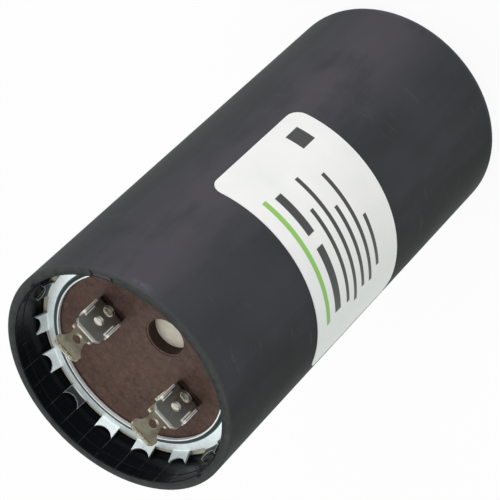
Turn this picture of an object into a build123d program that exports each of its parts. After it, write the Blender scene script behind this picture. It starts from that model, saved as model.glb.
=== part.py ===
from build123d import *
import math
import os

# Motor start capacitor, millimetres, +Z up.
# The capacitor stands on the closed end of its case and its terminals point up.
# The origin is the centre of the closed end. X runs along the line of the two
# terminals, and the vent hole of the cover is on the -Y side.

# Case: moulded cup, 2 1/16 in across and 4 3/8 in long
CASE_DIAMETER = 52.4
CASE_HEIGHT = 111.1
CASE_FLOOR = 3.5
CASE_WALL = 3.6
FOOT_RADIUS = 4.0
FLOOR_CHAMFER = 1.8
RIM_OUTER_CHAMFER = 0.25
RIM_INNER_CHAMFER = 0.2
BORE_RADIUS = 24.0
LEAD_IN_DEPTH = 2.3
LEAD_IN_STEP = 0.12
GATE_SCAR_ANGLE = -46.0
GATE_SCAR_LENGTH = 4.7
GATE_SCAR_DEPTH = 0.45
GATE_SCAR_WIDTH = 1.5
GATE_SCAR_OVERRUN = 0.2
GATE_SCAR_CORNER = 0.6

# Cover: laminated board on a rubber seal that also wraps its edge
COVER_DEPTH = 8.7
BOARD_THICKNESS = 2.6
BOARD_RADIUS = 22.5
BOARD_EDGE_CHAMFER = 0.2
SEAL_THICKNESS = 1.6
SEAL_SQUEEZE_GAP = 0.08
SEAL_LIP_CHAMFER = 0.3
VENT_RADIUS = 4.1
VENT_OFFSET = 9.5
VENT_STEP_RADIUS = 4.6
VENT_STEP_DEPTH = 0.12

# Retaining ring: one stamping with an upturned inner lip and bent teeth
RING_THICKNESS = 0.5
RING_LIP_RADIUS = 19.4
RING_LIP_HEIGHT = 1.05
RING_LIP_CHAMFER = 0.25
RING_BAND_RADIUS = 22.45
TOOTH_COUNT = 16
TOOTH_PHASE = 17.65
TOOTH_WIDTH = 4.35
TOOTH_RISE = 2.5
TOOTH_ARC_DEPTH = 1.2
TOOTH_BEND_RUN = 0.22
TOOTH_TIP_GAP = 0.02
TOOTH_ROOT_OVERLAP = 0.8
TOOTH_BEND_START = 22.5
STEEP_BEND_START = 22.95
STEEP_TEETH = (0, 3, 7, 11)

# Terminals: a stamping folded into two quarter-inch blades, riveted to the board
TERMINAL_SPACING = 22.35
TERMINAL_SHIFT = -0.25
BLADE_WIDTH = 6.35
BLADE_THICKNESS = 0.81
BLADE_BEND_RADIUS = 0.75
BLADE_TIP_CHAMFER = 1.0
BLADE_TIP_BEVEL = 0.2
BLADE_TIP_BEVEL_RUN = 0.45
BLADE_HOLE_DIAMETER = 2.1
BLADE_HOLE_FROM_TIP = 4.2
FRONT_ROOT_Y = -3.6
FRONT_HEIGHT = 8.95
ACCESS_HOLE_DIAMETER = 2.5
ACCESS_HOLE_HEIGHT = 1.3
EAR_BOTTOM = 1.8
EAR_TOP = 6.2
EAR_WIDTH = 0.5
EAR_OVERHANG = 0.35
EAR_REACH = 0.75
EAR_CORNER = 0.5
EAR_PAD_BOTTOM = 3.1
EAR_PAD_WIDTH = 0.75
EAR_PAD_REACH = 0.4
REAR_ROOT_Y = 4.2
REAR_LEAN = 8.0
REAR_LENGTH = 9.2
WAIST_HALF_WIDTH = 1.75
WAIST_ARC_RADIUS = 3.2
WAIST_FROM_TIP = 4.6
NECK_HALF_WIDTH = 1.95
LUG_FROM_TIP = 5.8
LUG_LENGTH = 2.2
LUG_HALF_SPAN = 2.65
LUG_SET_BACK = 0.35
LUG_CORNER = 0.3

# Rivets with their washers and lead tabs under the cover
RIVET_Y = 0.3
RIVET_SHANK_RADIUS = 1.2
RIVET_HEAD_RADIUS = 1.7
RIVET_HEAD_HEIGHT = 0.9
RIVET_HEAD_CHAMFER = 0.45
RIVET_TAIL_RADIUS = 2.1
RIVET_TAIL_HEIGHT = 0.7
RIVET_TAIL_CHAMFER = 0.35
WASHER_RADIUS = 3.4
WASHER_THICKNESS = 0.6
TAB_WIDTH = 5.0
TAB_THICKNESS = 0.4
TAB_INNER_X = 5.2
TAB_SLOT_DEPTH = 6.0
TAB_BEND_RADIUS = 1.0

# Wound element in its wrap
ROLL_RADIUS = 20.6
ROLL_TOP_GAP = 6.2
ROLL_CORE_RADIUS = 3.0
ROLL_EDGE_CHAMFER = 0.5
WRAP_THICKNESS = 0.25
WRAP_OVERLAP = 9.0
WRAP_BITE = 0.05

# Paper label with rounded corners, set a little askew on the case
LABEL_WIDTH = 50.8
LABEL_HEIGHT = 32.2
LABEL_CORNER = 3.0
LABEL_THICKNESS = 0.12
LABEL_CENTRE_Z = 62.5
LABEL_CENTRE_ANGLE = -108.5
LABEL_SKEW = -0.8

case_radius = CASE_DIAMETER / 2
cover_top = CASE_HEIGHT - COVER_DEPTH
board_bottom = cover_top - BOARD_THICKNESS
ledge_z = board_bottom - SEAL_THICKNESS
chamber_radius = case_radius - CASE_WALL
washer_bottom = ledge_z - WASHER_THICKNESS
tab_bottom = washer_bottom - TAB_THICKNESS
roll_top = ledge_z - ROLL_TOP_GAP
terminal_places = (
    TERMINAL_SHIFT - TERMINAL_SPACING / 2,
    TERMINAL_SHIFT + TERMINAL_SPACING / 2,
)
ring_top = cover_top + RING_THICKNESS


def nearest_corner(face, x, y):
    """The corner of a flat section that lies nearest to a point."""
    return face.vertices().sort_by_distance((x, y))[0]


def ring_of(outer, inner, bottom, height):
    """A flat round washer shape, centred on the Z axis."""
    ring = Circle(outer) - Circle(inner)
    return extrude(Plane.XY.offset(bottom) * ring, height)


def disc(radius, bottom, height, x=0.0, y=0.0):
    """A round plug with its foot at the given height."""
    return Pos(x, y, bottom + height / 2) * Cylinder(radius, height)


def make_case():
    """Moulded cup: thick wall, ledge for the cover and a bore with a lead-in."""
    lead_in_radius = BORE_RADIUS + LEAD_IN_STEP
    lead_in_z = CASE_HEIGHT - LEAD_IN_DEPTH
    section = Polyline(
        (0, 0),
        (case_radius, 0),
        (case_radius, CASE_HEIGHT),
        (lead_in_radius, CASE_HEIGHT),
        (lead_in_radius, lead_in_z),
        (BORE_RADIUS, lead_in_z - LEAD_IN_STEP),
        (BORE_RADIUS, ledge_z),
        (chamber_radius, ledge_z),
        (chamber_radius, CASE_FLOOR),
        (0, CASE_FLOOR),
        close=True,
    )
    face = make_face(section)
    face = fillet(nearest_corner(face, case_radius, 0), FOOT_RADIUS)
    face = chamfer(nearest_corner(face, case_radius, CASE_HEIGHT), RIM_OUTER_CHAMFER)
    face = chamfer(nearest_corner(face, lead_in_radius, CASE_HEIGHT), RIM_INNER_CHAMFER)
    face = chamfer(nearest_corner(face, chamber_radius, CASE_FLOOR), FLOOR_CHAMFER)
    cup = revolve(Plane.XZ * face, Axis.Z)
    return cup - gate_scar()


def gate_scar():
    """Shallow trimmed spot on the inner edge of the mouth."""
    block = Box(GATE_SCAR_WIDTH, GATE_SCAR_LENGTH, 2 * GATE_SCAR_DEPTH)
    outer_corners = block.edges().filter_by(Axis.Z).group_by(Axis.X)[-1]
    block = fillet(outer_corners, GATE_SCAR_CORNER)
    middle = BORE_RADIUS + GATE_SCAR_WIDTH / 2 - GATE_SCAR_OVERRUN
    return Rot(0, 0, GATE_SCAR_ANGLE) * Pos(middle, 0, CASE_HEIGHT) * block


def rivet_holes(bottom, top):
    """Clearance-free round holes for the two rivets."""
    left, right = terminal_places
    holes = disc(RIVET_SHANK_RADIUS, bottom, top - bottom, left, RIVET_Y)
    return holes + disc(RIVET_SHANK_RADIUS, bottom, top - bottom, right, RIVET_Y)


def make_cover_board():
    """Laminated disc with the vent hole and its pressed ring."""
    board = disc(BOARD_RADIUS, board_bottom, BOARD_THICKNESS)
    board = chamfer(board.edges().sort_by(Axis.Z)[-1], BOARD_EDGE_CHAMFER)
    board -= disc(VENT_RADIUS, board_bottom, BOARD_THICKNESS, 0, -VENT_OFFSET)
    board -= disc(
        VENT_STEP_RADIUS, cover_top - VENT_STEP_DEPTH, VENT_STEP_DEPTH, 0, -VENT_OFFSET
    )
    return board - rivet_holes(board_bottom, cover_top)


def make_rubber_seal():
    """Rubber disc under the board whose rim wraps the edge of the board."""
    outer = BORE_RADIUS - SEAL_SQUEEZE_GAP
    seal = disc(outer, ledge_z, SEAL_THICKNESS)
    rim = ring_of(outer, BOARD_RADIUS, board_bottom, BOARD_THICKNESS)
    seal += chamfer(rim.edges().group_by(Axis.Z)[-1], SEAL_LIP_CHAMFER)
    return seal - rivet_holes(ledge_z, board_bottom)


def ring_tooth(bend_start):
    """One tooth on +X: bent up out of the band, its end a hollow arc."""
    mid_z = cover_top + RING_THICKNESS / 2
    reach = BORE_RADIUS - TOOTH_TIP_GAP
    tip_x = math.sqrt(reach**2 - (TOOTH_WIDTH / 2) ** 2)
    outer_tip = Vector(tip_x, mid_z + TOOTH_RISE)
    bend = Vector(bend_start, mid_z)
    outer_slope = (outer_tip - bend).normalized()
    tip = outer_tip - Vector(outer_slope.Y, -outer_slope.X) * (RING_THICKNESS / 2)
    slope = (tip - bend).normalized()
    root = Vector(RING_BAND_RADIUS - TOOTH_ROOT_OVERLAP, mid_z)
    before_bend = bend - Vector(TOOTH_BEND_RUN, 0)
    after_bend = bend + slope * TOOTH_BEND_RUN
    path = Polyline(root, before_bend, after_bend, tip)
    strip = extrude(Plane.XZ * trace(path, RING_THICKNESS), TOOTH_WIDTH / 2, both=True)
    arc_radius = (TOOTH_WIDTH**2 / 4 + TOOTH_ARC_DEPTH**2) / (2 * TOOTH_ARC_DEPTH)
    centre = tip + slope * (arc_radius - TOOTH_ARC_DEPTH)
    across = Plane(
        origin=(centre.X, 0, centre.Y), x_dir=(0, 1, 0), z_dir=(-slope.Y, 0, slope.X)
    )
    return strip - across * Cylinder(arc_radius, 4 * RING_THICKNESS)


def make_retaining_ring():
    """Star ring: lip, flat band and sixteen teeth that grip the bore."""
    lip_top = cover_top + RING_LIP_HEIGHT
    lip_outer = RING_LIP_RADIUS + RING_THICKNESS
    section = Polyline(
        (RING_LIP_RADIUS, cover_top),
        (RING_BAND_RADIUS, cover_top),
        (RING_BAND_RADIUS, ring_top),
        (lip_outer, ring_top),
        (lip_outer, lip_top),
        (RING_LIP_RADIUS, lip_top),
        close=True,
    )
    face = make_face(section)
    face = chamfer(nearest_corner(face, lip_outer, ring_top), RING_LIP_CHAMFER)
    face = chamfer(nearest_corner(face, RING_LIP_RADIUS, cover_top), RING_LIP_CHAMFER)
    ring = revolve(Plane.XZ * face, Axis.Z)
    pitch = 360 / TOOTH_COUNT
    plain = ring_tooth(TOOTH_BEND_START)
    steep = ring_tooth(STEEP_BEND_START)
    teeth = []
    for index in range(TOOTH_COUNT):
        tooth = steep if index in STEEP_TEETH else plain
        teeth.append(Rot(0, 0, TOOTH_PHASE + index * pitch) * tooth)
    return ring + teeth


def blade_planes():
    """The planes of the front and the rear blade, Y of each along the blade."""
    mid_z = cover_top + BLADE_THICKNESS / 2
    lean = math.radians(REAR_LEAN)
    front = Plane(origin=(0, FRONT_ROOT_Y, mid_z), x_dir=(1, 0, 0), z_dir=(0, -1, 0))
    rear = Plane(
        origin=(0, REAR_ROOT_Y, mid_z),
        x_dir=(1, 0, 0),
        z_dir=(0, -math.cos(lean), math.sin(lean)),
    )
    return front, rear


def tip_corners(length):
    """The two triangles that come off the corners of a blade's tip."""
    half = BLADE_WIDTH / 2
    corners = Sketch()
    for side in (-1, 1):
        outline = Polyline(
            (side * half, length - BLADE_TIP_CHAMFER),
            (side * half, length),
            (side * (half - BLADE_TIP_CHAMFER), length),
            close=True,
        )
        corners += make_face(outline)
    return corners


def blade_cutter(length):
    """The hole and the tip corners that both blades have."""
    hole = Pos(0, length - BLADE_HOLE_FROM_TIP) * Circle(BLADE_HOLE_DIAMETER / 2)
    return hole + tip_corners(length)


def front_cutter():
    """What comes off the front blade, in its own plane."""
    access = Pos(0, ACCESS_HOLE_HEIGHT) * Circle(ACCESS_HOLE_DIAMETER / 2)
    return blade_cutter(FRONT_HEIGHT) + access


def rear_cutter():
    """What comes off the rear blade: also a long waist and a narrow neck."""
    cut = blade_cutter(REAR_LENGTH)
    waist_middle = REAR_LENGTH - WAIST_FROM_TIP
    neck_depth = BLADE_WIDTH / 2 - NECK_HALF_WIDTH
    neck_length = waist_middle - BLADE_BEND_RADIUS
    for side in (-1, 1):
        reach = WAIST_HALF_WIDTH + WAIST_ARC_RADIUS
        cut += Pos(side * reach, waist_middle) * Circle(WAIST_ARC_RADIUS)
        neck = Rectangle(neck_depth, neck_length)
        middle = NECK_HALF_WIDTH + neck_depth / 2
        cut += Pos(side * middle, BLADE_BEND_RADIUS + neck_length / 2) * neck
    return cut


def front_ear(side):
    """Edge of the front blade turned forward, with the pad pressed beside it."""
    depth = EAR_REACH + BLADE_THICKNESS
    ear = Box(EAR_WIDTH, EAR_TOP - EAR_BOTTOM, depth)
    ear = fillet(ear.edges().filter_by(Axis.X).group_by(Axis.Z)[-1], EAR_CORNER)
    x = BLADE_WIDTH / 2 + EAR_OVERHANG - EAR_WIDTH / 2
    ear = Pos(side * x, (EAR_TOP + EAR_BOTTOM) / 2, EAR_REACH / 2) * ear
    pad = Box(EAR_PAD_WIDTH, EAR_TOP - EAR_PAD_BOTTOM, EAR_PAD_REACH)
    pad = chamfer(pad.edges().group_by(Axis.Z)[-1], EAR_PAD_REACH / 2)
    pad_x = x - EAR_WIDTH / 2 - EAR_PAD_WIDTH / 2 + EAR_PAD_REACH / 2
    pad_z = (BLADE_THICKNESS + EAR_PAD_REACH) / 2
    return ear + Pos(side * pad_x, (EAR_TOP + EAR_PAD_BOTTOM) / 2, pad_z) * pad


def rear_lug(side):
    """Stop beside the neck of the rear blade, sheared back from its face."""
    width = LUG_HALF_SPAN - WAIST_HALF_WIDTH
    outermost = 0 if side < 0 else -1
    lug = Box(width, LUG_LENGTH, BLADE_THICKNESS)
    lug = fillet(lug.edges().filter_by(Axis.Z).group_by(Axis.X)[outermost], LUG_CORNER)
    x = LUG_HALF_SPAN - width / 2
    y = REAR_LENGTH - LUG_FROM_TIP - LUG_LENGTH / 2
    return Pos(side * x, y, -LUG_SET_BACK) * lug


def blade_bevel(plane, length):
    """Wedges that thin both faces of a blade at its tip.

    Each wedge runs as far past the tip as it starts before it, so it is twice
    as deep there as at the tip.
    """
    edge = BLADE_THICKNESS / 2
    past = length + BLADE_TIP_BEVEL_RUN
    across = Plane(origin=(0, 0, 0), x_dir=(0, 1, 0), z_dir=(-1, 0, 0))
    wedges = Part()
    for side in (-1, 1):
        outline = Polyline(
            (past, side * edge),
            (length - BLADE_TIP_BEVEL_RUN, side * edge),
            (past, side * (edge - 2 * BLADE_TIP_BEVEL)),
            close=True,
        )
        wedges += plane * across * extrude(make_face(outline), BLADE_WIDTH, both=True)
    return wedges


def make_terminal(x):
    """Strip folded into two blades on one riveted foot."""
    front, rear = blade_planes()
    front_tip = front.from_local_coords((0, FRONT_HEIGHT, 0))
    rear_tip = rear.from_local_coords((0, REAR_LENGTH, 0))
    path = FilletPolyline(
        (front_tip.Y, front_tip.Z),
        (front.origin.Y, front.origin.Z),
        (rear.origin.Y, rear.origin.Z),
        (rear_tip.Y, rear_tip.Z),
        radius=BLADE_BEND_RADIUS,
    )
    body = extrude(Plane.YZ * trace(path, BLADE_THICKNESS), BLADE_WIDTH / 2, both=True)
    through = 2 * BLADE_THICKNESS
    body -= extrude(front * front_cutter(), through, both=True)
    body -= extrude(rear * rear_cutter(), through, both=True)
    for side in (-1, 1):
        body += front * front_ear(side)
        body += rear * rear_lug(side)
    body -= blade_bevel(front, FRONT_HEIGHT)
    body -= blade_bevel(rear, REAR_LENGTH)
    foot_hole = disc(RIVET_SHANK_RADIUS, cover_top, BLADE_THICKNESS, 0, RIVET_Y)
    return Pos(x, 0, 0) * (body - foot_hole)


def make_rivet(x):
    """Rivet with a bevelled head on the foot and a flattened tail under the tab."""
    foot_top = cover_top + BLADE_THICKNESS
    shank = disc(RIVET_SHANK_RADIUS, tab_bottom, foot_top - tab_bottom, x, RIVET_Y)
    head = disc(RIVET_HEAD_RADIUS, foot_top, RIVET_HEAD_HEIGHT, x, RIVET_Y)
    head = chamfer(head.edges().sort_by(Axis.Z)[-1], RIVET_HEAD_CHAMFER)
    tail_bottom = tab_bottom - RIVET_TAIL_HEIGHT
    tail = disc(RIVET_TAIL_RADIUS, tail_bottom, RIVET_TAIL_HEIGHT, x, RIVET_Y)
    tail = chamfer(tail.edges().sort_by(Axis.Z)[0], RIVET_TAIL_CHAMFER)
    return shank + head + tail


def make_rivet_washer(x):
    """Flat washer between the rubber seal and the lead tab."""
    washer = disc(WASHER_RADIUS, washer_bottom, WASHER_THICKNESS, x, RIVET_Y)
    return washer - disc(RIVET_SHANK_RADIUS, washer_bottom, WASHER_THICKNESS, x, RIVET_Y)


def make_lead_tab(x, side):
    """Strip from under the washer, bent down into the end of the roll."""
    mid_z = tab_bottom + TAB_THICKNESS / 2
    end_z = roll_top - TAB_SLOT_DEPTH
    path = FilletPolyline(
        (x + side * TAB_WIDTH / 2, mid_z),
        (side * TAB_INNER_X, mid_z),
        (side * TAB_INNER_X, end_z),
        radius=TAB_BEND_RADIUS,
    )
    strip = extrude(Plane.XZ * trace(path, TAB_THICKNESS), TAB_WIDTH / 2, both=True)
    strip = Pos(0, RIVET_Y, 0) * strip
    return strip - disc(RIVET_SHANK_RADIUS, tab_bottom, TAB_THICKNESS, x, RIVET_Y)


def make_winding_roll(tabs):
    """Foil and paper wound on a mandrel, with slots where the tabs enter."""
    height = roll_top - CASE_FLOOR
    roll = disc(ROLL_RADIUS, CASE_FLOOR, height)
    roll -= disc(ROLL_CORE_RADIUS, CASE_FLOOR, height)
    roll = chamfer(roll.edges().group_by(Axis.Z)[-1], ROLL_EDGE_CHAMFER)
    for tab in tabs:
        roll -= tab
    return roll


def make_roll_wrap():
    """Paper wrap round the roll, with the step where its end laps over."""
    bottom = CASE_FLOOR + FLOOR_CHAMFER
    height = roll_top - ROLL_EDGE_CHAMFER - bottom
    inner = ROLL_RADIUS
    wrap = ring_of(inner + WRAP_THICKNESS, inner, bottom, height)
    lap_inner = inner + WRAP_THICKNESS
    lap = ring_of(lap_inner + WRAP_THICKNESS, lap_inner - WRAP_BITE, bottom, height)
    window = Pos(lap_inner, 0, bottom + height / 2) * Box(inner, WRAP_OVERLAP, height)
    return wrap + (lap & window)


def label_corner(side, level):
    """What comes off one corner of the label, drawn on the wall round +X."""
    turn = side * (LABEL_WIDTH / 2 - LABEL_CORNER) / case_radius
    outward = (math.cos(turn), math.sin(turn), 0)
    along = (-math.sin(turn), math.cos(turn), 0)
    centre = (
        case_radius * math.cos(turn),
        case_radius * math.sin(turn),
        level * (LABEL_HEIGHT / 2 - LABEL_CORNER),
    )
    wall = Plane(origin=centre, x_dir=along, z_dir=outward)
    size = 1.2 * LABEL_CORNER
    square = Pos(side * size / 2, level * size / 2) * Rectangle(size, size)
    return extrude(wall * (square - Circle(LABEL_CORNER)), 1, both=True)


def make_label():
    """Paper rectangle with round corners, bent round the wall of the case."""
    half_arc = LABEL_WIDTH / 2 / case_radius
    far = 2 * case_radius
    corner_x = far * math.cos(half_arc)
    corner_y = far * math.sin(half_arc)
    sector = Polyline((0, 0), (corner_x, corner_y), (corner_x, -corner_y), close=True)
    outline = extrude(make_face(sector), LABEL_HEIGHT / 2, both=True)
    for side in (-1, 1):
        for level in (-1, 1):
            outline -= label_corner(side, level)
    outline = Rot(LABEL_SKEW, 0, 0) * outline
    skin = ring_of(
        case_radius + LABEL_THICKNESS, case_radius, -LABEL_HEIGHT, 2 * LABEL_HEIGHT
    )
    label = Rot(0, 0, 180) * skin & outline
    return Pos(0, 0, LABEL_CENTRE_Z) * Rot(0, 0, LABEL_CENTRE_ANGLE) * label


def make_lead_tabs():
    """Both lead tabs, left first."""
    left, right = terminal_places
    return [make_lead_tab(left, -1), make_lead_tab(right, 1)]


def main():
    os.makedirs("parts", exist_ok=True)
    tabs = make_lead_tabs()
    nodes = {
        "case": make_case(),
        "cover_board": make_cover_board(),
        "rubber_seal": make_rubber_seal(),
        "retaining_ring": make_retaining_ring(),
        "winding_roll": make_winding_roll(tabs),
        "roll_wrap": make_roll_wrap(),
        "label": make_label(),
    }
    for name, x, tab in zip(("left", "right"), terminal_places, tabs):
        nodes[f"terminal_{name}"] = make_terminal(x)
        nodes[f"rivet_{name}"] = make_rivet(x)
        nodes[f"rivet_washer_{name}"] = make_rivet_washer(x)
        nodes[f"lead_tab_{name}"] = tab
    for name, shape in nodes.items():
        export_step(shape, f"parts/{name}.step")


main()
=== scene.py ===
import math

import bpy
from mathutils import Matrix, Vector


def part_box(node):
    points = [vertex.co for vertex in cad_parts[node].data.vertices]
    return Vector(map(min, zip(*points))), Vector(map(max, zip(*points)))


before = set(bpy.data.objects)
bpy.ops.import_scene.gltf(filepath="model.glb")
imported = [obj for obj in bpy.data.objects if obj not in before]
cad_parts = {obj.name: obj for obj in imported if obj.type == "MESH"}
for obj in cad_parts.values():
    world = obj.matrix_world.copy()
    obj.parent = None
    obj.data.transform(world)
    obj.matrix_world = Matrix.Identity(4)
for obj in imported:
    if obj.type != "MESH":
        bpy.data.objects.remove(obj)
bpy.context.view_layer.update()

MM = 0.001

# Camera: a long lens that looks down into the open end, rolled so that the case lies across the frame
CAMERA_AZIMUTH = 4.2
CAMERA_ELEVATION = 42.0
CAMERA_ROLL = -134.57
CAMERA_DISTANCE = 470.7 * MM
CAMERA_AIM = Vector((-0.374, 3.347, 59.288)) * MM
CAMERA_LENS = 161.15
SENSOR_WIDTH = 36.0
CLIP_START = 0.05
CLIP_END = 20.0

# Studio
FLOOR_SIZE = 6.0
FLOOR_COLOUR = (0.8, 0.8, 0.8)
FLOOR_GLOW = 0.93
WORLD_LEVEL = 0.45
LAMPS = (
    # name, place in metres, size in metres, watts
    ("key", (0.62, -0.85, 0.5), 0.7, 5.5),
    ("fill", (-0.5, -0.8, 0.4), 0.9, 1.2),
    ("top", (0.1, 0.2, 1.0), 0.8, 4.5),
    ("back", (0.2, 0.9, 0.6), 0.9, 2.5),
)

# Sizes and levels of the part, read from the frame
case_low, case_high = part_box("case")
ring_low, ring_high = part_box("retaining_ring")
rivet_low, rivet_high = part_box("rivet_left")
label_low, label_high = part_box("label")
CASE_RADIUS = (case_high[0] - case_low[0]) / 2
CASE_TOP = case_high[2]
BORE_EDGE = (ring_high[0] - ring_low[0]) / 2 + 0.4 * MM
BOARD_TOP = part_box("cover_board")[1][2]
TERMINAL_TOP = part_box("terminal_left")[1][2]
RIVET_MIDDLE = (rivet_low[1] + rivet_high[1]) / 2
LABEL_MIDDLE = (label_low[2] + label_high[2]) / 2

# Case: angles in degrees about its axis, and the lean of the scar in degrees per metre of radius
# Middle of the painted sheen on the wall, and middle of the side that is kept clear of painted shade
SHEEN_ANGLE = -57.0
FRONT_ANGLE = -75.0
SMUDGE_ANGLE = -64.5
SMUDGE_LEVEL = CASE_TOP - 1.3 * MM
SCAR_ANGLE = -46.5
SCAR_HALF_ANGLE = 4.8
SCAR_LEAN = 1.9 / MM
DARK_PATCH_ANGLES = (-1.0, 179.0)
DARK_PATCH_DEPTH = 1.5 * MM
RIM_MIDDLE = 25.0 * MM

# Retaining ring
TOOTH_COUNT = 16
TOOTH_PHASE = 17.65
TOOTH_CORNER_ANGLE = 5.2
TOOTH_HALF_ANGLE = 6.5
TOOTH_ROOT = 22.7 * MM
STEEP_TEETH = (0, 3, 7, 11)
LIP_EDGE = 19.6 * MM
LIP_LEVEL = BOARD_TOP + 0.28 * MM
FOLD_EDGE = 20.54 * MM
FOLD_GROWTH = 0.35 * MM

# Terminals: faces are places in Y, tops are levels, and grooves run this far to the side of the middle
TERMINAL_SPACING = 22.35 * MM
TERMINAL_SHIFT = -0.25 * MM
FOOT_TOP = BOARD_TOP + 0.81 * MM
FRONT_FACE = -4.0 * MM
FRONT_BACK = -2.4 * MM
FOLD_TOP = BOARD_TOP + 1.45 * MM
# Place of the painted contact shadow on the board in front of each front blade
FOOT_SHADOW_LINE = -4.2 * MM
PAD_GROOVE = 2.85 * MM
EAR_GROOVE = 3.24 * MM
RIVET_BEVEL = FOOT_TOP + 0.64 * MM

# Label: its middle and skew in degrees, and plain bars of print in mm, each given by its place
# along the wall and up the case from the middle of the label, its length and its height
LABEL_ANGLE = -108.5
LABEL_SKEW = -0.8
BAR_SOFTNESS = 0.06
GREEN_BARS = (
    (0.0, 12.0, 30.0, 1.3),
)
DARK_BARS = (
    (-6.5, 8.2, 15.0, 2.2),
    (9.0, 8.2, 10.0, 2.2),
    (-3.5, 4.2, 22.0, 1.1),
    (-1.0, 1.2, 30.0, 1.1),
    (-5.0, -1.8, 19.0, 1.1),
    (-2.0, -4.8, 26.0, 1.1),
    (-7.0, -7.8, 12.0, 1.1),
    (19.5, -9.0, 4.5, 4.5),
)


class Finish:
    """A material of one Principled shader, whose nodes are added by short calls."""

    def __init__(self, name, roughness, metallic=0.0, specular=0.5):
        self.material = bpy.data.materials.new(name)
        self.material.use_nodes = True
        self.tree = self.material.node_tree
        self.shader = self.tree.nodes["Principled BSDF"]
        self.shader.inputs["Roughness"].default_value = roughness
        self.shader.inputs["Metallic"].default_value = metallic
        self.shader.inputs["Specular IOR Level"].default_value = specular
        self.place = self.add("ShaderNodeTexCoord").outputs["Object"]

    def add(self, kind, inputs=(), **settings):
        """A new node, with its settings and its inputs, linked or set."""
        node = self.tree.nodes.new(kind)
        for key, value in settings.items():
            setattr(node, key, value)
        for key, value in dict(inputs).items():
            if isinstance(value, bpy.types.NodeSocket):
                self.tree.links.new(value, node.inputs[key])
            else:
                node.inputs[key].default_value = value
        return node

    def math(self, operation, first, second=0.0, third=0.0):
        """The result of one operation on up to three values."""
        inputs = {0: first, 1: second, 2: third}
        return self.add("ShaderNodeMath", inputs, operation=operation).outputs[0]

    def times(self, value, factor):
        """A value made larger or smaller by a factor."""
        return self.math("MULTIPLY", value, factor)

    def xyz(self):
        """The three coordinates of the point."""
        parts = self.add("ShaderNodeSeparateXYZ", {0: self.place})
        return parts.outputs[0], parts.outputs[1], parts.outputs[2]

    def join(self, x, y, z):
        """A point made from three coordinates."""
        return self.add("ShaderNodeCombineXYZ", {0: x, 1: y, 2: z}).outputs[0]

    def round_place(self):
        """Radius, angle in degrees and height about the axis of the case."""
        x, y, z = self.xyz()
        square = self.math("ADD", self.math("MULTIPLY", x, x), self.math("MULTIPLY", y, y))
        angle = self.math("DEGREES", self.math("ARCTAN2", y, x))
        return self.math("SQRT", square), angle, z

    def turn(self, angle, middle):
        """Degrees past the middle angle, from -180 to 180."""
        return self.math("WRAP", self.math("SUBTRACT", angle, middle), 180.0, -180.0)

    def turn_from(self, angle, middle):
        """Degrees from the middle angle, on either side."""
        return self.math("ABSOLUTE", self.turn(angle, middle))

    def noise(self, size, detail=3.0, rough=0.5, vector=None, distortion=0.0):
        """Noise whose blotches are about one size across, in metres."""
        inputs = {
            "Vector": vector or self.place,
            "Scale": 1.0 / size,
            "Detail": detail,
            "Roughness": rough,
            "Distortion": distortion,
        }
        return self.add("ShaderNodeTexNoise", inputs).outputs["Fac"]

    def cells(self, size):
        """Distance to the nearest of many scattered points, in cells."""
        inputs = {"Vector": self.place, "Scale": 1.0 / size}
        return self.add("ShaderNodeTexVoronoi", inputs).outputs["Distance"]

    def span(self, value, low, high, start=0.0, end=1.0):
        """The value carried from one range to another, held at both ends."""
        inputs = {"Value": value, "From Min": low, "From Max": high, "To Min": start, "To Max": end}
        return self.add("ShaderNodeMapRange", inputs, clamp=True).outputs["Result"]

    def near(self, value, middle, half, soft):
        """Where a value lies within half of the middle, with soft ends."""
        away = self.math("ABSOLUTE", self.math("SUBTRACT", value, middle))
        return self.span(away, half + soft, half)

    def both(self, first, *others):
        """Where all the masks hold."""
        for mask in others:
            first = self.math("MULTIPLY", first, mask)
        return first

    def either(self, first, *others):
        """Where any of the masks holds."""
        for mask in others:
            first = self.math("MAXIMUM", first, mask)
        return first

    def blend(self, share, first, second):
        """A colour between two others, which is the second where the share is 1."""
        node = self.add("ShaderNodeMix", data_type="RGBA", clamp_factor=True)
        sockets = (node.inputs[0], node.inputs[6], node.inputs[7])
        for socket, value in zip(sockets, (share, first, second)):
            if isinstance(value, bpy.types.NodeSocket):
                self.tree.links.new(value, socket)
            else:
                socket.default_value = (*value, 1.0)
        return node.outputs[2]

    def paint(self, colour, mask, strength, coat):
        """A coat over a colour, as strong as given where the mask holds."""
        return self.blend(self.times(mask, strength), colour, coat)

    def bump(self, height, depth, normal=None):
        """Relief whose full height is the depth, in metres."""
        inputs = {"Height": height, "Distance": depth, "Strength": 1.0}
        if normal is not None:
            inputs["Normal"] = normal
        return self.add("ShaderNodeBump", inputs).outputs["Normal"]

    def edges(self, radius):
        """The rounded normal, and how far a point lies on an edge, which the finishes lighten for wear and
        as a painted highlight.
        """
        rounded = self.add("ShaderNodeBevel", {"Radius": radius}, samples=6).outputs["Normal"]
        flat = self.add("ShaderNodeNewGeometry").outputs["Normal"]
        inputs = {0: rounded, 1: flat}
        along = self.add("ShaderNodeVectorMath", inputs, operation="DOT_PRODUCT").outputs["Value"]
        return rounded, self.span(along, 1.0, 0.9)

    def finish(self, colour, roughness, normal, metallic=None):
        """Link what varies over the surface to the shader."""
        links = {"Base Color": colour, "Roughness": roughness, "Normal": normal, "Metallic": metallic}
        for key, socket in links.items():
            if socket is not None:
                self.tree.links.new(socket, self.shader.inputs[key])
        return self.material


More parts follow.
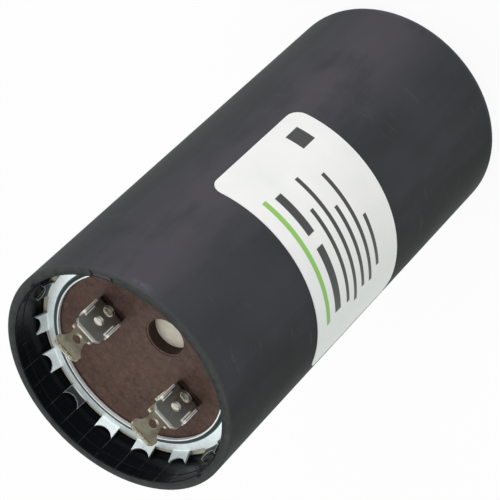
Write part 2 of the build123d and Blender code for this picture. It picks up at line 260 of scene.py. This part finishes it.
def wall_colour(look, angle, z, clouds):
    """Wall: a painted purple sheen on one side and painted green-black shade round the back, with streaks,
    scuffs and specks.
    """
    x, y, _ = look.xyz()
    streaks = look.noise(5 * MM, 4.0, 0.6, look.join(x, y, look.times(z, 0.16)), 0.3)
    cloud_drift = look.span(clouds, 0.32, 0.68, -0.16, 0.16)
    streak_drift = look.span(streaks, 0.35, 0.65, -0.10, 0.10)
    drift = look.math("ADD", cloud_drift, streak_drift)
    # Painted sheen towards one side and painted shade round the back, both shifted by the clouds and
    # streaks
    painted_sheen = look.span(look.turn_from(angle, SHEEN_ANGLE), 30.0, 4.0)
    painted_shade = look.span(look.turn_from(angle, FRONT_ANGLE), 42.0, 74.0)
    sheen_and_clouds = look.math("ADD", painted_sheen, drift)
    shade_and_clouds = look.math("SUBTRACT", painted_shade, drift)
    wall = look.blend(sheen_and_clouds, (0.040, 0.043, 0.047), (0.068, 0.065, 0.076))
    wall = look.blend(shade_and_clouds, wall, (0.013, 0.017, 0.015))
    smudge = look.both(
        look.near(angle, SMUDGE_ANGLE, 1.5, 4.5),
        look.near(z, SMUDGE_LEVEL, 0.2 * MM, 1.2 * MM),
        look.span(look.noise(2.0 * MM, 3.0, 0.6), 0.35, 0.65),
    )
    wall = look.paint(wall, smudge, 0.8, (0.125, 0.118, 0.145))
    stretched = look.join(look.times(x, 0.35), look.times(y, 0.35), z)
    scuffs = look.noise(2.6 * MM, 6.0, 0.7, stretched, 0.6)
    wall = look.blend(look.span(scuffs, 0.60, 0.78, 0.0, 0.5), wall, (0.090, 0.088, 0.095))
    specks = look.cells(2.1 * MM)
    return look.blend(look.span(specks, 0.07, 0.03, 0.0, 0.4), wall, (0.085, 0.085, 0.088))


def rim_colour(look, radius, angle, moss):
    """Rim: bluish inside, olive outside, blotched, with a trimmed spot on its inner edge."""
    blotch = look.span(moss, 0.32, 0.68)
    inner = look.blend(blotch, (0.018, 0.023, 0.024), (0.038, 0.044, 0.043))
    outer = look.blend(blotch, (0.034, 0.038, 0.035), (0.050, 0.055, 0.051))
    rim = look.blend(look.span(radius, RIM_MIDDLE - 0.3 * MM, RIM_MIDDLE + 0.5 * MM), inner, outer)
    from_scar = look.math("SUBTRACT", angle, SCAR_ANGLE)
    lean = look.times(look.math("SUBTRACT", radius, RIM_MIDDLE), SCAR_LEAN)
    groove = look.both(
        look.near(look.math("SUBTRACT", from_scar, lean), SCAR_HALF_ANGLE, 0.35, 0.5),
        look.span(radius, RIM_MIDDLE + 1.0 * MM, RIM_MIDDLE + 0.6 * MM),
    )
    pit = look.both(
        look.near(from_scar, -SCAR_HALF_ANGLE, 0.7, 0.7),
        look.near(radius, RIM_MIDDLE, 0.3 * MM, 0.25 * MM),
    )
    return look.blend(look.either(groove, pit), rim, (0.004, 0.005, 0.005))


def bore_colour(look, angle, grain):
    """Bore: polished by the mould core, scored where the corners of the teeth slid down."""
    turned = look.math("SUBTRACT", angle, TOOTH_PHASE)
    from_tooth = look.math("PINGPONG", turned, 180.0 / TOOTH_COUNT)
    patchy = look.span(look.noise(2.5 * MM, 3.0), 0.4, 0.62, 0.0, 0.7)
    score = look.both(look.near(from_tooth, TOOTH_CORNER_ANGLE, 0.09, 0.16), patchy)
    bore = look.blend(look.span(grain, 0.5, 0.8), (0.0040, 0.0052, 0.0066), (0.008, 0.010, 0.013))
    return look.blend(score, bore, (0.075, 0.075, 0.073))


def mouth_dark_patches(look, radius, angle, z, moss):
    """Where ragged near-black patches lie just inside the mouth, on two opposite sides."""
    first, second = (look.turn_from(angle, middle) for middle in DARK_PATCH_ANGLES)
    ragged = look.math("ADD", look.math("MINIMUM", first, second), look.span(moss, 0.3, 0.7, -1.2, 1.2))
    bottom = CASE_TOP - DARK_PATCH_DEPTH
    return look.both(
        look.span(ragged, 2.2, 1.7),
        look.span(radius, RIM_MIDDLE - 0.1 * MM, RIM_MIDDLE - 0.3 * MM),
        look.span(z, bottom, bottom + 0.4 * MM),
    )


def case_finish():
    """Black moulded phenolic: satin wall, mossy rim and glossy scratched bore."""
    look = Finish("black_phenolic", 0.55, specular=0.06)
    radius, angle, z = look.round_place()
    clouds = look.noise(15 * MM, 3.0, 0.5, distortion=0.4)
    moss = look.noise(1.3 * MM, 5.0, 0.62)
    arc = look.times(angle, 0.4 * MM)
    grain = look.noise(0.35 * MM, 3.0, 0.6, look.join(arc, 0.0, look.times(z, 0.03)))
    in_bore = look.span(radius, BORE_EDGE, BORE_EDGE - 0.1 * MM)
    on_top = look.span(z, CASE_TOP - 0.28 * MM, CASE_TOP - 0.12 * MM)
    on_edge = look.both(
        look.span(radius, CASE_RADIUS - 0.4 * MM, CASE_RADIUS - 0.15 * MM),
        look.span(z, CASE_TOP - 0.6 * MM, CASE_TOP - 0.2 * MM),
    )
    colour = look.blend(on_top, wall_colour(look, angle, z, clouds), rim_colour(look, radius, angle, moss))
    # Painted highlight along the outer edge of the rim
    colour = look.paint(colour, on_edge, 0.3, (0.070, 0.076, 0.070))
    colour = look.blend(in_bore, colour, bore_colour(look, angle, grain))
    colour = look.paint(colour, mouth_dark_patches(look, radius, angle, z, moss), 0.95, (0.003, 0.003, 0.004))

    wall_rough = look.span(clouds, 0.3, 0.7, 0.50, 0.60)
    rim_rough = look.math("ADD", wall_rough, look.times(on_top, 0.2))
    bore_rough = look.span(grain, 0.4, 0.7, 0.14, 0.30)
    outside = look.both(rim_rough, look.math("SUBTRACT", 1.0, in_bore))
    roughness = look.math("ADD", outside, look.both(bore_rough, in_bore))
    normal = look.bump(look.noise(0.4 * MM, 4.0, 0.6), 0.012 * MM)
    normal = look.bump(look.both(grain, in_bore), 0.006 * MM, normal)
    return look.finish(colour, roughness, normal)


def terminal_side(look, x):
    """How far a point lies to the side of the middle of its terminal."""
    from_middle = look.math("ABSOLUTE", look.math("SUBTRACT", x, TERMINAL_SHIFT))
    return look.math("ABSOLUTE", look.math("SUBTRACT", from_middle, TERMINAL_SPACING / 2))


def board_finish():
    """Reddish brown laminate, mottled by its fibres, with a painted shadow in front of the front blades
    and painted shade on its sides.
    """
    look = Finish("brown_laminate", 0.6, specular=0.1)
    x, y, z = look.xyz()
    mottle = look.noise(1.5 * MM, 6.0, 0.72, distortion=0.5)
    patches = look.noise(8.0 * MM, 2.0, 0.5)
    fibres = look.noise(0.6 * MM, 3.0, 0.75)
    specks = look.cells(2.2 * MM)
    colour = look.blend(look.span(mottle, 0.34, 0.66), (0.046, 0.026, 0.021), (0.104, 0.063, 0.050))
    colour = look.blend(look.span(patches, 0.4, 0.7, 0.0, 0.4), colour, (0.110, 0.066, 0.052))
    colour = look.blend(look.span(fibres, 0.56, 0.74, 0.0, 0.55), colour, (0.150, 0.100, 0.078))
    colour = look.blend(look.span(fibres, 0.44, 0.28, 0.0, 0.6), colour, (0.030, 0.017, 0.014))
    colour = look.blend(look.span(specks, 0.06, 0.03, 0.0, 0.6), colour, (0.22, 0.18, 0.15))
    # Painted contact shadow on the board along the foot of each front blade
    tone_patch = look.both(
        look.near(y, FOOT_SHADOW_LINE, 0.12 * MM, 0.3 * MM),
        look.near(terminal_side(look, x), 0.0, 2.9 * MM, 0.5 * MM),
    )
    colour = look.paint(colour, tone_patch, 0.7, (0.008, 0.005, 0.004))
    # Painted shade on the board's sides below its top, as in the wall of the vent hole
    painted_side_shade = look.span(z, BOARD_TOP - 0.15 * MM, BOARD_TOP - 0.35 * MM)
    colour = look.paint(colour, painted_side_shade, 0.55, (0.022, 0.013, 0.010))
    roughness = look.span(mottle, 0.3, 0.7, 0.48, 0.62)
    return look.finish(colour, roughness, look.bump(fibres, 0.02 * MM))


def rubber_finish():
    """Pale cream rubber with a dusty face."""
    look = Finish("cream_rubber", 0.62, specular=0.3)
    dust = look.noise(1.2 * MM, 5.0, 0.6)
    specks = look.cells(1.1 * MM)
    colour = look.blend(look.span(dust, 0.3, 0.7), (0.50, 0.47, 0.375), (0.61, 0.58, 0.485))
    colour = look.blend(look.span(specks, 0.10, 0.04, 0.0, 0.5), colour, (0.30, 0.28, 0.22))
    roughness = look.span(dust, 0.3, 0.7, 0.55, 0.7)
    return look.finish(colour, roughness, look.bump(dust, 0.03 * MM))


def steep_teeth(look, radius, angle):
    """Where the teeth that stand steepest are."""
    pitch = 360.0 / TOOTH_COUNT
    teeth = []
    for index in STEEP_TEETH:
        turned = look.turn(angle, TOOTH_PHASE + index * pitch)
        teeth.append(look.near(turned, 0.0, TOOTH_HALF_ANGLE, 0.3))
    return look.both(look.either(*teeth), look.span(radius, TOOTH_ROOT, TOOTH_ROOT + 0.1 * MM))


def zinc_finish():
    """Bluish zinc plate on sheet steel; the teeth that stand steepest get painted shade."""
    look = Finish("zinc_plate", 0.5, 0.45, specular=0.15)
    radius, angle, z = look.round_place()
    spangle = look.noise(1.3 * MM, 4.0, 0.6, distortion=0.3)
    grain = look.noise(0.12 * MM, 2.0, 0.5)
    spots = look.cells(2.3 * MM)
    colour = look.blend(look.span(spangle, 0.3, 0.7), (0.72, 0.81, 0.81), (0.84, 0.92, 0.92))
    colour = look.blend(look.span(grain, 0.62, 0.75, 0.0, 0.3), colour, (0.46, 0.50, 0.51))
    colour = look.blend(look.span(spots, 0.08, 0.03, 0.0, 0.7), colour, (0.22, 0.23, 0.22))

    # Painted shade on the steepest teeth, and edges lightened for wear and as a painted highlight
    steep = steep_teeth(look, radius, angle)
    colour = look.paint(colour, steep, 0.98, (0.022, 0.025, 0.026))
    rounded, wear_and_highlight = look.edges(0.14 * MM)
    shown = look.math("ADD", look.times(steep, 0.35), 0.6)
    colour = look.blend(look.both(wear_and_highlight, shown), colour, (0.90, 0.93, 0.93))

    # Painted highlight on the lip, painted reflection of the board under it, and painted shade in the fold
    # at its foot, which is painted wider on the far side
    _, y, _ = look.xyz()
    growth = look.span(y, 0.0, 15 * MM, 0.0, FOLD_GROWTH)
    fold_shade = look.both(
        look.span(radius, LIP_EDGE, LIP_EDGE + 0.06 * MM),
        look.span(look.math("SUBTRACT", radius, growth), FOLD_EDGE, FOLD_EDGE - 0.06 * MM),
    )
    lip_highlight = look.both(
        look.span(radius, LIP_EDGE - 0.02 * MM, LIP_EDGE - 0.08 * MM),
        look.span(z, LIP_LEVEL, LIP_LEVEL + 0.08 * MM),
    )
    under_lip_reflection = look.both(
        look.span(radius, LIP_EDGE - 0.10 * MM, LIP_EDGE - 0.15 * MM),
        look.span(z, LIP_LEVEL + 0.08 * MM, LIP_LEVEL),
    )
    colour = look.blend(lip_highlight, colour, (0.92, 0.95, 0.94))
    colour = look.paint(colour, fold_shade, 0.95, (0.016, 0.036, 0.042))
    colour = look.paint(colour, under_lip_reflection, 0.85, (0.10, 0.075, 0.065))

    matt = look.either(lip_highlight, steep, fold_shade)
    metallic = look.math("SUBTRACT", 0.45, look.times(matt, 0.35))
    roughness = look.span(spangle, 0.3, 0.7, 0.42, 0.56)
    return look.finish(colour, roughness, look.bump(spangle, 0.012 * MM, rounded), metallic)


def front_blade_colour(look, y, z, tone_patch, fleck):
    """Front blade: painted as a shaded copy of the tin, with a painted reflection that is brown low down
    and grey above, and a painted shadow in the fold at its foot.
    """
    rise = look.span(z, BOARD_TOP + 1.5 * MM, BOARD_TOP + 7.0 * MM)
    front = look.blend(rise, (0.125, 0.105, 0.088), (0.215, 0.225, 0.215))
    front = look.blend(look.span(tone_patch, 0.3, 0.7, 0.0, 0.3), front, (0.28, 0.27, 0.235))
    front = look.blend(look.span(fleck, 0.56, 0.75, 0.0, 0.6), front, (0.46, 0.44, 0.39))
    fold_shade = look.both(
        look.span(z, FOLD_TOP, FOLD_TOP - 0.4 * MM),
        look.span(y, FRONT_FACE + 1.1 * MM, FRONT_FACE + 0.8 * MM),
    )
    return look.paint(front, fold_shade, 0.95, (0.008, 0.006, 0.005))


def rear_blade_colour(look, tone_patch, fleck):
    """Rear blade: khaki with pale flecks."""
    rear = look.blend(look.span(tone_patch, 0.35, 0.65), (0.335, 0.31, 0.215), (0.50, 0.475, 0.365))
    return look.blend(look.span(fleck, 0.55, 0.75, 0.0, 0.5), rear, (0.66, 0.62, 0.53))


def raised_parts(look, x, y):
    """Where the ears and pads stand out of the front blade, but for the grooves in them."""
    raised = look.span(y, FRONT_FACE - 0.06 * MM, FRONT_FACE - 0.14 * MM)
    side = terminal_side(look, x)
    grooves = look.either(
        look.near(side, PAD_GROOVE, 0.10 * MM, 0.05 * MM),
        look.near(side, EAR_GROOVE, 0.05 * MM, 0.04 * MM),
    )
    return look.both(raised, look.math("SUBTRACT", 1.0, look.times(grooves, 0.85)))


def tinned_finish(name, shift):
    """Dull tin on brass, bright on edges for wear and as a painted highlight, with a painted highlight on
    the ears and pads; the shift gives each terminal its own stains.
    """
    look = Finish(name, 0.4, 0.75)
    x, y, z = look.xyz()
    shifted = look.join(look.math("ADD", x, shift), y, z)
    tone_patch = look.noise(1.8 * MM, 4.0, 0.6, shifted, 0.5)
    drawn = look.join(x, look.times(y, 0.05), look.times(z, 0.05))
    lines = look.noise(0.16 * MM, 2.0, 0.6, drawn)
    fleck = look.noise(0.32 * MM, 4.0, 0.7, shifted)
    behind = look.span(y, FRONT_BACK, FRONT_BACK + 0.8 * MM)
    # Front blade painted as a shaded copy with painted reflections, rear blade in khaki
    front = front_blade_colour(look, y, z, tone_patch, fleck)
    colour = look.blend(behind, front, rear_blade_colour(look, tone_patch, fleck))
    colour = look.blend(look.span(lines, 0.4, 0.75, 0.0, 0.3), colour, (0.50, 0.48, 0.41))
    tip = look.both(behind, look.span(z, TERMINAL_TOP - 0.75 * MM, TERMINAL_TOP - 0.55 * MM))
    dirt = look.span(fleck, 0.60, 0.46, 0.1, 0.95)
    colour = look.blend(look.both(tip, dirt), colour, (0.12, 0.11, 0.08))

    rounded, wear_and_highlight = look.edges(0.08 * MM)
    wear_and_highlight = look.both(wear_and_highlight, look.math("SUBTRACT", 0.9, look.times(behind, 0.35)))
    # Painted highlight on the ears and pads, and edges lightened for wear and as a painted highlight
    stands_out = raised_parts(look, x, y)
    bright = look.either(wear_and_highlight, look.times(stands_out, 0.9))
    colour = look.blend(bright, colour, (0.90, 0.88, 0.82))
    metallic = look.math("SUBTRACT", 0.75, look.times(stands_out, 0.65))
    roughness = look.span(tone_patch, 0.3, 0.7, 0.36, 0.50)
    return look.finish(colour, roughness, look.bump(lines, 0.006 * MM, rounded), metallic)


def rivet_finish(name):
    """Bright rivet with the swirl and the dimple of the setting tool, and a painted shadow on its bevel.
    """
    look = Finish(name, 0.4, 0.7)
    x, y, z = look.xyz()
    swirl = look.noise(0.3 * MM, 3.0, 0.6)
    colour = look.blend(look.span(swirl, 0.3, 0.7), (0.66, 0.64, 0.58), (0.90, 0.89, 0.85))
    # Painted shadow on the bevel of the head
    bevel_shadow = look.near(z, RIVET_BEVEL, 0.14 * MM, 0.04 * MM)
    colour = look.paint(colour, bevel_shadow, 0.95, (0.03, 0.025, 0.02))
    dimple = look.both(
        look.near(y, RIVET_MIDDLE, 0.22 * MM, 0.08 * MM),
        look.near(terminal_side(look, x), 0.0, 0.9 * MM, 0.2 * MM),
    )
    colour = look.paint(colour, dimple, 0.45, (0.06, 0.05, 0.04))
    roughness = look.span(swirl, 0.3, 0.7, 0.32, 0.48)
    return look.finish(colour, roughness, look.bump(swirl, 0.02 * MM))


def hidden_metal_finish(name, low, high):
    """Plain washer and tab metal with a drawn grain."""
    look = Finish(name, 0.35, 1.0)
    x, y, z = look.xyz()
    drawn = look.noise(0.3 * MM, 3.0, 0.6, look.join(x, look.times(y, 0.1), z))
    colour = look.blend(look.span(drawn, 0.3, 0.7), low, high)
    roughness = look.span(drawn, 0.3, 0.7, 0.28, 0.42)
    return look.finish(colour, roughness, look.bump(drawn, 0.01 * MM))


def roll_finish():
    """Turns of foil and oiled paper, seen as fine rings on the end of the roll."""
    look = Finish("wound_turns", 0.5)
    radius, _, _ = look.round_place()
    wobble = look.times(look.noise(6.0 * MM, 2.0), 0.4 * MM)
    rings = look.math("ADD", radius, wobble)
    turns = look.noise(0.25 * MM, 2.0, 0.7, look.join(rings, 0.0, 0.0))
    colour = look.blend(look.span(turns, 0.35, 0.65), (0.42, 0.37, 0.28), (0.66, 0.62, 0.54))
    roughness = look.span(turns, 0.3, 0.7, 0.4, 0.6)
    return look.finish(colour, roughness, look.bump(turns, 0.05 * MM))


def kraft_finish():
    """Kraft paper with long fibres."""
    look = Finish("kraft_paper", 0.75)
    x, y, z = look.xyz()
    fibres = look.noise(0.5 * MM, 4.0, 0.7, look.join(x, y, look.times(z, 0.2)))
    colour = look.blend(look.span(fibres, 0.3, 0.7), (0.38, 0.27, 0.16), (0.54, 0.42, 0.28))
    roughness = look.span(fibres, 0.3, 0.7, 0.68, 0.82)
    return look.finish(colour, roughness, look.bump(fibres, 0.03 * MM))


def bar_mask(look, along, up, bars):
    """Where a point lies in any of the bars."""
    masks = []
    for middle, level, length, height in bars:
        side = look.math("ABSOLUTE", look.math("SUBTRACT", along, middle))
        rise = look.math("ABSOLUTE", look.math("SUBTRACT", up, level))
        in_length = look.span(side, length / 2 + BAR_SOFTNESS, length / 2 - BAR_SOFTNESS)
        in_height = look.span(rise, height / 2 + BAR_SOFTNESS, height / 2 - BAR_SOFTNESS)
        masks.append(look.both(in_length, in_height))
    return look.either(*masks)


def label_finish():
    """White coated paper with plain bars of print, a little green towards its far end."""
    look = Finish("label_paper", 0.4, specular=0.3)
    _, angle, z = look.round_place()
    turned = look.turn(angle, LABEL_ANGLE)
    along = look.times(turned, math.radians(CASE_RADIUS / MM))
    level = look.math("SUBTRACT", look.math("DIVIDE", z, MM), LABEL_MIDDLE / MM)
    up = look.math("ADD", level, look.times(along, -math.tan(math.radians(LABEL_SKEW))))

    fibres = look.noise(0.35 * MM, 4.0, 0.65)
    shade = look.noise(9.0 * MM, 2.0)
    paper = look.blend(look.span(shade, 0.3, 0.7), (0.80, 0.81, 0.80), (0.86, 0.865, 0.85))
    paper = look.blend(look.span(turned, 0.0, -45.0, 0.0, 0.8), paper, (0.83, 0.90, 0.85))
    paper = look.blend(look.span(fibres, 0.62, 0.8, 0.0, 0.35), paper, (0.72, 0.73, 0.71))
    colour = look.paint(paper, bar_mask(look, along, up, GREEN_BARS), 0.96, (0.24, 0.52, 0.09))
    colour = look.paint(colour, bar_mask(look, along, up, DARK_BARS), 0.97, (0.030, 0.030, 0.032))
    roughness = look.span(fibres, 0.3, 0.7, 0.34, 0.46)
    return look.finish(colour, roughness, look.bump(fibres, 0.006 * MM))


def dress_nodes():
    """Give each piece its finish."""
    looks = {
        "case": case_finish(),
        "cover_board": board_finish(),
        "rubber_seal": rubber_finish(),
        "retaining_ring": zinc_finish(),
        "winding_roll": roll_finish(),
        "roll_wrap": kraft_finish(),
        "label": label_finish(),
        "terminal_left": tinned_finish("tinned_brass_left", 0.0),
        "terminal_right": tinned_finish("tinned_brass_right", 5.0 * MM),
    }
    washer = hidden_metal_finish("washer_metal", (0.50, 0.50, 0.49), (0.68, 0.68, 0.67))
    tab = hidden_metal_finish("tab_metal", (0.66, 0.67, 0.68), (0.82, 0.83, 0.84))
    for side in ("left", "right"):
        looks[f"rivet_{side}"] = rivet_finish(f"rivet_metal_{side}")
        looks[f"rivet_washer_{side}"] = washer
        looks[f"lead_tab_{side}"] = tab
    for name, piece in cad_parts.items():
        piece.data.materials.clear()
        piece.data.materials.append(looks[name])


def seen_directly(tree):
    """1 for rays from the camera, a mirror or glass, and 0 for the rest of the light."""
    path = tree.nodes.new("ShaderNodeLightPath")
    total = path.outputs["Is Camera Ray"]
    for name in ("Is Glossy Ray", "Is Transmission Ray"):
        either = tree.nodes.new("ShaderNodeMath")
        either.operation = "MAXIMUM"
        tree.links.new(total, either.inputs[0])
        tree.links.new(path.outputs[name], either.inputs[1])
        total = either.outputs[0]
    return total


def floor_finish():
    """Pale floor: plain to the light, and white with a soft shadow to the camera."""
    material = bpy.data.materials.new("floor")
    material.use_nodes = True
    tree = material.node_tree
    tree.nodes.clear()
    plain = tree.nodes.new("ShaderNodeBsdfDiffuse")
    plain.inputs["Color"].default_value = (*FLOOR_COLOUR, 1.0)
    glow = tree.nodes.new("ShaderNodeEmission")
    glow.inputs["Color"].default_value = (1.0, 1.0, 1.0, 1.0)
    glow.inputs["Strength"].default_value = 1.0
    seen = tree.nodes.new("ShaderNodeMixShader")
    seen.inputs[0].default_value = FLOOR_GLOW
    tree.links.new(plain.outputs[0], seen.inputs[1])
    tree.links.new(glow.outputs[0], seen.inputs[2])
    choice = tree.nodes.new("ShaderNodeMixShader")
    tree.links.new(seen_directly(tree), choice.inputs[0])
    tree.links.new(plain.outputs[0], choice.inputs[1])
    tree.links.new(seen.outputs[0], choice.inputs[2])
    out = tree.nodes.new("ShaderNodeOutputMaterial")
    tree.links.new(choice.outputs[0], out.inputs["Surface"])
    return material


def add_floor():
    """Square floor at the foot of the case."""
    half = FLOOR_SIZE / 2
    mesh = bpy.data.meshes.new("floor")
    corners = [(-half, -half, 0), (half, -half, 0), (half, half, 0), (-half, half, 0)]
    mesh.from_pydata(corners, [], [(0, 1, 2, 3)])
    mesh.materials.append(floor_finish())
    floor = bpy.data.objects.new("floor", mesh)
    bpy.context.scene.collection.objects.link(floor)


def add_world():
    """Even white surroundings, white to the camera and softer as a light."""
    world = bpy.data.worlds.new("studio")
    world.use_nodes = True
    tree = world.node_tree
    sky = tree.nodes["Background"]
    sky.inputs["Color"].default_value = (1.0, 1.0, 1.0, 1.0)
    level = tree.nodes.new("ShaderNodeMapRange")
    level.inputs["To Min"].default_value = WORLD_LEVEL
    level.inputs["To Max"].default_value = 1.0
    tree.links.new(seen_directly(tree), level.inputs["Value"])
    tree.links.new(level.outputs["Result"], sky.inputs["Strength"])
    bpy.context.scene.world = world


def add_lamp(name, place, size, watts):
    """Soft square lamp that faces the middle of the case."""
    data = bpy.data.lights.new(name, "AREA")
    data.shape = "SQUARE"
    data.size = size
    data.energy = watts
    lamp = bpy.data.objects.new(name, data)
    middle = Vector((0.0, 0.0, CASE_TOP / 2))
    lamp.location = place
    lamp.rotation_euler = (middle - Vector(place)).to_track_quat("-Z", "Y").to_euler()
    bpy.context.scene.collection.objects.link(lamp)


def add_camera():
    """Camera on its azimuth and elevation round the aim point, then rolled about its axis."""
    azimuth = math.radians(CAMERA_AZIMUTH)
    elevation = math.radians(CAMERA_ELEVATION)
    back = Vector((
        math.sin(azimuth) * math.cos(elevation),
        -math.cos(azimuth) * math.cos(elevation),
        math.sin(elevation),
    ))
    right = Vector((math.cos(azimuth), math.sin(azimuth), 0.0))
    up = back.cross(right)
    level = Matrix((right, up, back)).transposed().to_4x4()
    roll = Matrix.Rotation(math.radians(CAMERA_ROLL), 4, "Z")
    data = bpy.data.cameras.new("camera")
    data.lens = CAMERA_LENS
    data.sensor_width = SENSOR_WIDTH
    data.clip_start = CLIP_START
    data.clip_end = CLIP_END
    camera = bpy.data.objects.new("camera", data)
    camera.matrix_world = Matrix.Translation(CAMERA_AIM + back * CAMERA_DISTANCE) @ level @ roll
    bpy.context.scene.collection.objects.link(camera)
    bpy.context.scene.camera = camera


dress_nodes()
add_floor()
add_world()
for lamp in LAMPS:
    add_lamp(*lamp)
add_camera()
bpy.context.scene.view_settings.view_transform = "Standard"
